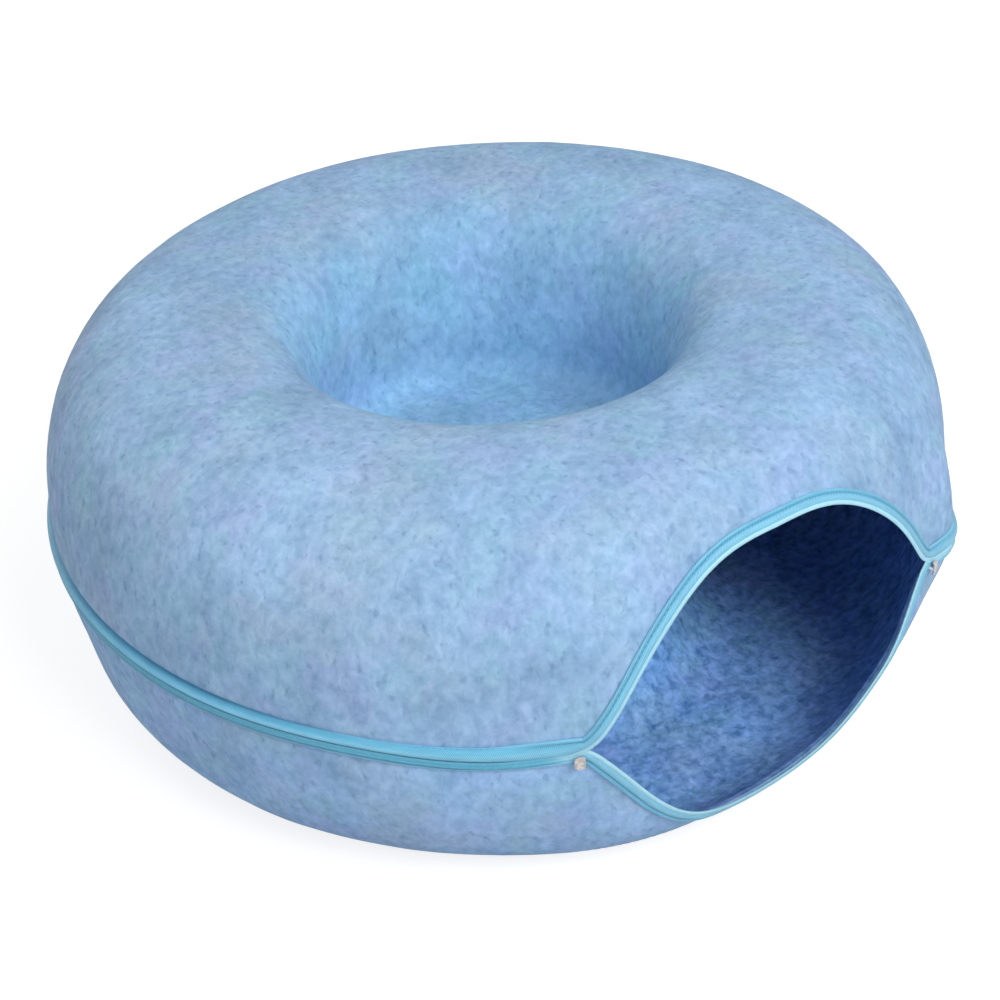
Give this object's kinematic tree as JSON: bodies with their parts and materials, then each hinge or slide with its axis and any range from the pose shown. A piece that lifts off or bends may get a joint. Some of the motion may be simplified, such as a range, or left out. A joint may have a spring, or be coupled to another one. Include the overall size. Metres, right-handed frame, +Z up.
{
  "type": "felt cat tunnel",
  "caption": "Ring-shaped felt tunnel for cats, with a closed well in the middle, a zip round its girth and a lens-shaped entrance where the zip is open.",
  "frame": {"origin": "middle of the outline in plan, at the height of the surface that the tunnel rests on", "axes": "+Z up; the entrance looks along -Y; +X is to the right of someone who faces the entrance"},
  "size_m": [0.6086, 0.5869, 0.2625],
  "materials": {
    "felt": "heathered pale blue needle felt, fuzzy and matt",
    "zip_tape": "woven cyan-blue zip tape with a faint sheen",
    "zip_coil": "cyan-blue nylon coil",
    "slider_metal": "small plated sliders, slightly worn"
  },
  "bodies": {
    "root": {"upper_felt": "felt", "lower_felt": "felt", "upper_zip_tape": "zip_tape", "lower_zip_tape": "zip_tape", "upper_zip_coil": "zip_coil", "lower_zip_coil": "zip_coil", "left_slider": "slider_metal", "right_slider": "slider_metal"}
  },
  "joints": []
}
